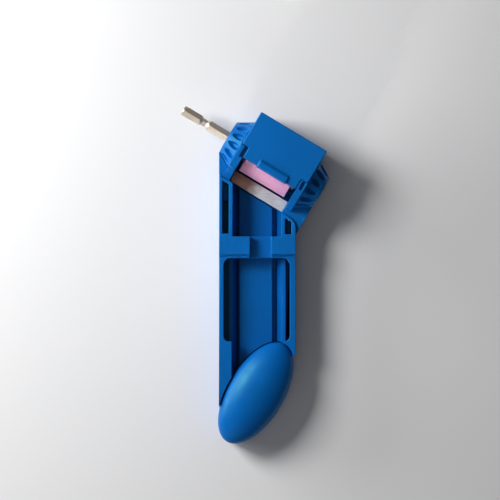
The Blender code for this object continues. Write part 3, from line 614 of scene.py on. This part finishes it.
def make_cone(name, node, side):
    """A cone with a bearing seat inside and a ring of long oval pockets outside."""
    low, high = span(node, HEAD)
    near, far = sorted((side * low.x, side * high.x))
    bearing = f"{name}_bearing_outer_ring"
    wide = widest(node, low.x, high.x) + RIM_FILL
    end_low, end_high = sorted((side * far, side * (far - NEAR)))
    narrow = widest(node, end_low, end_high) + RIM_FILL
    hole = narrowest(node, low.x, high.x)
    seat = widest(bearing, low.x, high.x) + FIT_GAP
    near -= SEAM_FILL
    section = [
        (near, seat),
        (far - END_WALL, seat),
        (far - END_WALL, hole),
        (far, hole),
        (far, narrow),
        (near, wide),
    ]
    profile = divided(rounded(section, CONE_EDGE), CONE_ROWS)
    slope = math.atan2(wide - narrow, far - near)
    middle = near + (far - near) * POCKET_MIDDLE
    pitch = 360 / POCKETS_ROUND

    def pocketed(x, radius, angle):
        """Sinks a point of the cone's outside into the nearest pocket."""
        on_slope = radius > wide - (x - near) * math.tan(slope) - CONE_SKIN
        turn = (math.degrees(angle) - 90) % 360
        nearest = (math.floor(turn / pitch) + 0.5) * pitch
        if not on_slope or PLAIN_TURNS[0] < nearest < PLAIN_TURNS[1]:
            return side * x, radius
        lengthways = (x - middle) / math.cos(slope) / POCKET_HALF_LENGTH
        half_width = POCKET_HALF_WIDTH * (1 - POCKET_TAPER * lengthways)
        across = math.radians(turn - nearest) * radius / half_width
        away = math.hypot(across, lengthways)
        if away >= 1:
            return side * x, radius
        sink = POCKET_DEPTH * (1 - away**4) ** 1.4
        return side * (x - sink * math.sin(slope)), radius - sink * math.cos(slope)

    mesh = lathe(f"{name}_cone_moulding", profile, CONE_COLUMNS, form_radius=pocketed)
    piece(f"{name}_cone_moulding", mesh, node, NYLON)


make_cone("left", "left_cone", -1)
make_cone("right", "right_cone", 1)


# Grinding wheel and what clamps it

CORNER_SHARE = 0.985  # of a hexagon's sharp corner that is left
NUT_BEVEL = 0.9 * MM
NUT_ROWS = 0.4 * MM
NUT_COLUMNS = 144
WHEEL_EDGE = 0.5 * MM
WHEEL_COLUMNS = 160
RING_EDGE = 0.3 * MM
WASHER_EDGE = 0.1 * MM
WASHER_SWEEP = (12, 354)  # degrees, which leaves the spring washer's gap


def ring_piece(name, node, look, slot, columns=ROUND_COLUMNS, edge=RING_EDGE, sweep=(0, 360)):
    """A plain ring with rounded edges, the size of its CAD node."""
    low, high = span(node, HEAD)
    inner = narrowest(node, low.x, high.x)
    outer = widest(node, low.x, high.x)
    profile = [(high.x, inner), (high.x, outer), (low.x, outer), (low.x, inner)]
    mesh = lathe(name, rounded(profile, edge), columns, sweep=sweep)
    piece(name, mesh, node, look)


def hexagon(across_flats, turn=30.0):
    """A function for a hexagon's distance from its middle at an angle, its corners just broken."""
    half = across_flats / 2
    corner = half / math.cos(math.pi / 6) * CORNER_SHARE

    def distance(angle):
        from_flat = (math.degrees(angle) + turn) % 60 - 30
        return min(half / math.cos(math.radians(from_flat)), corner)

    return distance


def make_nut():
    """The hexagonal wheel nut, its corners bevelled at both ends."""
    low, high = span("wheel_nut", HEAD)
    across = high.y - low.y
    flats = min(across, high.z - low.z)
    bore = narrowest("wheel_nut", low.x, high.x)
    corner = widest("wheel_nut", low.x, high.x)
    distance = hexagon(flats, turn=30.0 if across <= high.z - low.z else 0.0)
    profile = [
        (high.x, bore),
        (high.x, corner - NUT_BEVEL),
        (high.x - NUT_BEVEL / 2, corner),
        (low.x + NUT_BEVEL / 2, corner),
        (low.x, corner - NUT_BEVEL),
        (low.x, bore),
    ]
    profile = divided(profile, NUT_ROWS)

    def hexed(x, radius, angle):
        """Keeps a point within the hexagon, if it lies outside of its flats."""
        return x, radius if radius < flats / 2 - NEAR else min(radius, distance(angle))

    mesh = lathe("wheel_nut_hexagon", profile, NUT_COLUMNS, form_radius=hexed)
    piece("wheel_nut_hexagon", mesh, "wheel_nut", CLAMP_STEEL)


ring_piece("wheel_stone", "grinding_wheel", CORUNDUM, "corundum", WHEEL_COLUMNS, WHEEL_EDGE)
ring_piece("inner_flange_disc", "inner_flange", CLAMP_STEEL, "clamp_steel")
ring_piece("outer_flange_disc", "outer_flange", CLAMP_STEEL, "clamp_steel")
ring_piece(
    "spring_washer", "lock_washer", CLAMP_STEEL, "clamp_steel", edge=WASHER_EDGE, sweep=WASHER_SWEEP
)
make_nut()


# Spindle

SHANK_FLATS = 6.35 * MM
TIP_BEVEL = 1.0 * MM
TIP_SHARE = 0.8  # of the hexagon's corner that is left at the tip
NECK_SLOPE = 2.2 * MM
NECK_SHOULDER = 0.6 * MM
SHOULDER_SHARE = 0.92  # of the corner where the slope to the neck steepens
BAR_EDGE = 0.35 * MM
BAR_ROWS = 0.35 * MM


def make_spindle():
    """One bar: hexagonal shank with a neck, then shoulder, arbor, thread and end journal."""
    found = polar("spindle")
    start = span("spindle", HEAD)[0].x
    hex_corner = SHANK_FLATS / 2 / math.cos(math.pi / 6)
    hex_end = max(x for x, radius in found if abs(radius - hex_corner) < NEAR)
    corner = widest("spindle", start, hex_end)
    distance = hexagon(corner * 2 * math.cos(math.pi / 6))
    neck = narrowest("spindle", start + 2 * TIP_BEVEL, hex_end)
    neck_places = [x for x, radius in found if abs(radius - neck) < NEAR and x < hex_end - MM]
    neck_low = min(neck_places)
    neck_high = max(neck_places)
    shank = [
        (start, 0),
        (start, corner * TIP_SHARE),
        (start + TIP_BEVEL, corner),
        (neck_low - NECK_SLOPE, corner),
        (neck_low - NECK_SLOPE + NECK_SHOULDER, corner * SHOULDER_SHARE),
        (neck_low, neck),
        (neck_high, neck),
        (neck_high + NECK_SLOPE - NECK_SHOULDER, corner * SHOULDER_SHARE),
        (neck_high + NECK_SLOPE, corner),
        (hex_end, corner),
    ]
    bar = rounded(shank + shaft_profile(found, hex_end), BAR_EDGE, 4, closed=False)

    def hexed(x, radius, angle):
        """Gives the shank its six flats."""
        on_shank = x < hex_end + 0.001 * MM and radius > 0
        return x, min(radius, distance(angle)) if on_shank else radius

    profile = divided(bar, BAR_ROWS, closed=False)
    mesh = lathe("spindle_bar", profile, ROUND_COLUMNS, closed=False, form_radius=hexed)
    piece("spindle_bar", mesh, "spindle", SPINDLE_STEEL)


def shaft_profile(found, start):
    """The round part's steps, in order along the spindle, ending on the axis."""
    places = sorted({round(x, 6) for x, radius in found if x > start + 0.05 * MM})
    steps = []
    last = 0.0
    for place in places:
        radii = sorted({round(r, 5) for x, r in found if abs(x - place) < 1e-6 and r > 0.1 * MM})
        if last and abs(radii[-1] - last) < abs(radii[0] - last):
            radii.reverse()
        steps += [(place, radius) for radius in radii]
        last = radii[-1]
    return steps + [(places[-1], 0)]


make_spindle()


# Bearings

BALL_RADIUS = 0.95 * MM
BALLS = 8
FIRST_BALL = 0.25  # of the pitch between two balls
TRACK_OFFSET = 0.3 * MM
TRACK_RADIUS = BALL_RADIUS * 1.05
TRACK_STEPS = 8
RACE_EDGE = 0.25 * MM
CAGE_HALF_WIDTH = 1.35 * MM
CAGE_HALF_THICKNESS = 0.3 * MM
CAGE_NARROWING = 0.35
CAGE_EDGE = 0.15 * MM
CAGE_COLUMNS = 144


def grooved_ring(name, node, outside):
    """A bearing ring with a ball groove on one side, rounded at its edges."""
    low, high = span(node, HEAD)
    inner = narrowest(node, low.x, high.x)
    outer = widest(node, low.x, high.x)
    middle = (low.x + high.x) / 2
    track = inner if outside else outer
    centre = track + (-TRACK_OFFSET if outside else TRACK_OFFSET)
    groove = []
    for i in range(TRACK_STEPS + 1):
        x = middle + BALL_RADIUS * (1 - 2 * i / TRACK_STEPS)
        depth = math.sqrt(max(0, TRACK_RADIUS**2 - (x - middle) ** 2))
        reach = centre + depth if outside else centre - depth
        groove.append((x, max(track, reach) if outside else min(track, reach)))
    if outside:
        profile = [(low.x, outer), (high.x, outer), (high.x, inner)] + groove + [(low.x, inner)]
        profile.reverse()
    else:
        profile = [(high.x, inner), (high.x, outer)] + groove + [(low.x, outer), (low.x, inner)]
    mesh = lathe(name, rounded(profile, RACE_EDGE), ROUND_COLUMNS)
    piece(name, mesh, node, BEARING_STEEL)


def make_cage(name, node):
    """A brass cage, a ring that narrows at each ball, and its steel balls."""
    low, high = span(node, HEAD)
    middle = (low.x + high.x) / 2
    pitch_radius = (widest(node, low.x, high.x) + narrowest(node, low.x, high.x)) / 2

    def narrowed(x, radius, angle):
        """Narrows the ring at each ball."""
        from_ball = (math.degrees(angle) / 360 * BALLS) % 1 - FIRST_BALL
        from_ball = min(abs(from_ball), abs(from_ball - 1))
        wave = 1 - CAGE_NARROWING * max(0.0, math.cos(from_ball * 2 * math.pi))
        return middle + (x - middle) * wave, radius

    profile = [
        (middle + CAGE_HALF_WIDTH, pitch_radius - CAGE_HALF_THICKNESS),
        (middle + CAGE_HALF_WIDTH, pitch_radius + CAGE_HALF_THICKNESS),
        (middle - CAGE_HALF_WIDTH, pitch_radius + CAGE_HALF_THICKNESS),
        (middle - CAGE_HALF_WIDTH, pitch_radius - CAGE_HALF_THICKNESS),
    ]
    profile = rounded(profile, CAGE_EDGE)
    mesh = lathe(f"{name}_ball_cage", profile, CAGE_COLUMNS, form_radius=narrowed)
    piece(f"{name}_ball_cage", mesh, node, CAGE_BRASS)
    make_balls(name, node, middle, pitch_radius)


def make_balls(name, node, middle, pitch_radius):
    """The ring of steel balls, which moves with the cage."""
    form = bmesh.new()
    for i in range(BALLS):
        angle = 2 * math.pi * (i + FIRST_BALL) / BALLS
        centre = (middle, pitch_radius * math.cos(angle), pitch_radius * math.sin(angle))
        place = HEAD @ Matrix.Translation(centre)
        bmesh.ops.create_icosphere(form, subdivisions=3, radius=BALL_RADIUS, matrix=place)
    balls = bpy.data.objects.new(f"{name}_balls", finished(f"{name}_balls", form))
    bpy.context.scene.collection.objects.link(balls)
    balls.data.materials.append(BEARING_STEEL)
    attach(balls, BODY_OF[node])


for bearing_side in ("left", "right"):
    grooved_ring(f"{bearing_side}_outer_race", f"{bearing_side}_bearing_outer_ring", True)
    grooved_ring(f"{bearing_side}_inner_race", f"{bearing_side}_bearing_inner_ring", False)
    make_cage(bearing_side, f"{bearing_side}_bearing_cage")


# Retaining ring and end cap

CLIP_HALF_OPENING = 1.2 * MM
CLIP_EDGE = 0.12 * MM
CLIP_COLUMNS = 90
CAP_CROWN = 0.15 * MM
CAP_BEVEL = 0.5 * MM
CAP_EDGE = 0.25 * MM


def make_retaining_ring():
    """The open spring ring in the spindle's groove."""
    low, high = span("retaining_ring", HEAD)
    inner = narrowest("retaining_ring", low.x, high.x)
    half = math.degrees(math.asin(CLIP_HALF_OPENING / inner))
    shape = {"columns": CLIP_COLUMNS, "edge": CLIP_EDGE, "sweep": (90 + half, 450 - half)}
    ring_piece("spring_clip", "retaining_ring", SCREW_STEEL, "screw_steel", **shape)


def make_end_cap():
    """A snap-in dust plug with a slightly crowned face."""
    found = polar("end_cap")
    low, high = span("end_cap", HEAD)
    rim = widest("end_cap", low.x, high.x)
    rim_top = max(x for x, radius in found if abs(radius - rim) < NEAR)
    face = widest("end_cap", rim_top + 0.1 * MM, high.x)
    profile = [
        (high.x, 0),
        (high.x - CAP_CROWN * 0.2, face * 0.5),
        (high.x - CAP_CROWN, face - CAP_BEVEL),
        (high.x - CAP_BEVEL, face),
        (rim_top, face),
        (rim_top, rim),
        (low.x, rim),
        (low.x, 0),
    ]
    profile = rounded(profile, CAP_EDGE, closed=False)
    mesh = lathe("dust_plug", profile, ROUND_COLUMNS, closed=False)
    piece("dust_plug", mesh, "end_cap", BLACK_PLASTIC)


make_retaining_ring()
make_end_cap()


# Screws

RECESS_SPAN = 1.15  # of the head's radius
RECESS_WIDTH = 0.22  # of the span
RECESS_TAPER = 0.45  # of the span that is left at the bottom
RECESS_DEPTH = 1.3 * MM
PAN_FLAT = 0.55  # of the head's radius, and so is the shoulder
PAN_SHOULDER = 0.85
SHOULDER_RISE = 0.25 * MM
HEAD_RISE = 0.8 * MM
POINT_SHARE = 0.5  # of the thread's radius
POINT_LENGTH = 1 * MM
SCREW_EDGE = 0.3 * MM
SCREW_COLUMNS = 48


def cross_recess(size, depth, top):
    """A cutter for a cross recess, opening at a height."""
    form = bmesh.new()
    for turn in (0, math.pi / 2):
        made = bmesh.ops.create_cube(form, size=1)["verts"]
        for vert in made:
            deep = vert.co.z > 0
            vert.co.x *= size * (RECESS_TAPER if deep else 1.0)
            vert.co.y *= size * RECESS_WIDTH
            vert.co.z = top + depth if deep else top - 1 * MM
        bmesh.ops.rotate(form, verts=made, matrix=Matrix.Rotation(turn, 3, "Z"))
    return form


def make_screw(node):
    """A pan-head screw with a cross recess, seen from the tool's back."""
    low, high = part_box(node)
    middle = (low + high) / 2
    head_radius = (high.x - low.x) / 2
    found = [(v.co.z, (v.co.xy - middle.xy).length) for v in NODES[node].data.vertices]
    head_top = max(z for z, radius in found if radius > head_radius * 0.98)
    thread = max(radius for z, radius in found if z > head_top + 1 * MM)
    upright = Matrix(((0, 1, 0, middle.x), (0, 0, 1, middle.y), (1, 0, 0, 0), (0, 0, 0, 1)))
    profile = [
        (low.z, 0),
        (low.z, head_radius * PAN_FLAT),
        (low.z + SHOULDER_RISE, head_radius * PAN_SHOULDER),
        (low.z + HEAD_RISE, head_radius),
        (head_top, head_radius),
        (head_top, thread),
        (high.z - POINT_LENGTH, thread),
        (high.z, thread * POINT_SHARE),
        (high.z, 0),
    ]
    profile = rounded(profile, SCREW_EDGE, closed=False)
    mesh = lathe(f"{node}_turned", profile, SCREW_COLUMNS, upright, closed=False)
    screw = piece(f"{node}_pan_head", mesh, node, SCREW_STEEL)
    cutter_form = cross_recess(head_radius * RECESS_SPAN, RECESS_DEPTH, low.z)
    bmesh.ops.translate(cutter_form, vec=(middle.x, middle.y, 0), verts=cutter_form.verts)
    cut_out(screw, cutter_form)


def cut_out(obj, form):
    """Cuts a shape out of a piece for good."""
    cutter_mesh = bpy.data.meshes.new("cutter")
    form.to_mesh(cutter_mesh)
    form.free()
    cutter = bpy.data.objects.new("cutter", cutter_mesh)
    bpy.context.scene.collection.objects.link(cutter)
    modifier = obj.modifiers.new("cut", "BOOLEAN")
    modifier.object = cutter
    modifier.solver = "EXACT"
    modifier.use_self = True
    evaluated = obj.evaluated_get(bpy.context.evaluated_depsgraph_get())
    made = bpy.data.meshes.new_from_object(evaluated)
    made.name = obj.data.name
    obj.modifiers.remove(modifier)
    obj.data = made
    bpy.data.objects.remove(cutter)


for screw_node in sorted(name for name in NODES if "screw" in name):
    make_screw(screw_node)


# Floor, lights and camera

FLOOR_HALF = 4.0
PAPER_CLOUD = 0.4
PAPER_ROUGHNESS = 0.9
PAPER = (0.80, 0.80, 0.81)
PALE_PAPER = (0.83, 0.83, 0.83)
WHEEL_LIGHT_BACK = 0.48
WHEEL_LIGHT_UP = 0.15
WHEEL_LIGHT_SPREAD = 16  # degrees
STUDIO_GREY = (0.072, 0.072, 0.075, 1)
FRAME_WIDTH = 335 * MM  # how much of the tool's face plane the picture takes in
FACE_SHARE = 0.6  # height of that plane, as a share of the tool's
CAMERA_HEIGHT = 1.5
VIEW_OFFSET = (-3.5 * MM, 16.8 * MM)
SENSOR_WIDTH = 36.0


def make_floor():
    """A wide sheet of pale paper under the tool."""
    form = bmesh.new()
    bmesh.ops.create_grid(form, x_segments=1, y_segments=1, size=FLOOR_HALF)
    mesh = bpy.data.meshes.new("floor")
    form.to_mesh(mesh)
    form.free()
    floor = bpy.data.objects.new("floor", mesh)
    bpy.context.scene.collection.objects.link(floor)
    made, tree, shader = new_material("floor_paper")
    cloud = noise(tree, object_coordinates(tree), PAPER_CLOUD, 2)
    tree.links.new(mixed(tree, cloud, PAPER, PALE_PAPER), shader.inputs["Base Color"])
    shader.inputs["Roughness"].default_value = PAPER_ROUGHNESS
    mesh.materials.append(made)


def area_light(name, place, target, size, power, spread=180):
    """A soft rectangular light of some watts that points at a target, its spread in degrees."""
    light = bpy.data.lights.new(name, "AREA")
    light.shape = "RECTANGLE"
    light.size, light.size_y = size
    light.energy = power
    light.spread = math.radians(spread)
    obj = bpy.data.objects.new(name, light)
    bpy.context.scene.collection.objects.link(obj)
    obj.location = place
    obj.rotation_mode = "QUATERNION"
    obj.rotation_quaternion = (Vector(target) - Vector(place)).to_track_quat("-Z", "Y")


def make_lights():
    """A key from the upper left, fills round it, and a narrow light on the wheel."""
    wheel = HEAD.translation
    beside = wheel - AWAY * WHEEL_LIGHT_BACK + UP * WHEEL_LIGHT_UP
    area_light("key", (-0.55, 0.30, 0.52), (0, 0.03, 0), size=(0.30, 0.30), power=6.1)
    area_light("wheel_light", beside, wheel, (0.08, 0.08), power=0.011, spread=WHEEL_LIGHT_SPREAD)
    area_light("low_side", (-0.95, 0.35, 0.22), (0, 0, 0.02), size=(0.8, 0.3), power=8.0)
    area_light("side_panel", (-0.30, -0.75, 0.55), (-0.02, 0.08, 0), size=(0.9, 0.5), power=0.7)
    area_light("overhead", (0.0, 0.1, 1.9), (0, 0, 0), size=(0.7, 0.7), power=1.0)
    world = bpy.data.worlds.new("studio")
    world.use_nodes = True
    world.node_tree.nodes["Background"].inputs["Color"].default_value = STUDIO_GREY
    bpy.context.scene.world = world


def make_camera():
    """A camera high above the tool that looks straight down on its face."""
    camera = bpy.data.cameras.new("camera")
    camera.sensor_width = SENSOR_WIDTH
    face = CAD_BOX[1].z * FACE_SHARE
    camera.lens = camera.sensor_width * (CAMERA_HEIGHT - face) / FRAME_WIDTH
    camera.clip_start = 0.05
    camera.clip_end = 20
    obj = bpy.data.objects.new("camera", camera)
    bpy.context.scene.collection.objects.link(obj)
    middle = (CAD_BOX[0] + CAD_BOX[1]) / 2
    obj.location = (middle.x + VIEW_OFFSET[0], middle.y + VIEW_OFFSET[1], CAMERA_HEIGHT)
    bpy.context.scene.camera = obj


make_floor()
make_lights()
make_camera()
bpy.context.scene.view_settings.view_transform = "Standard"
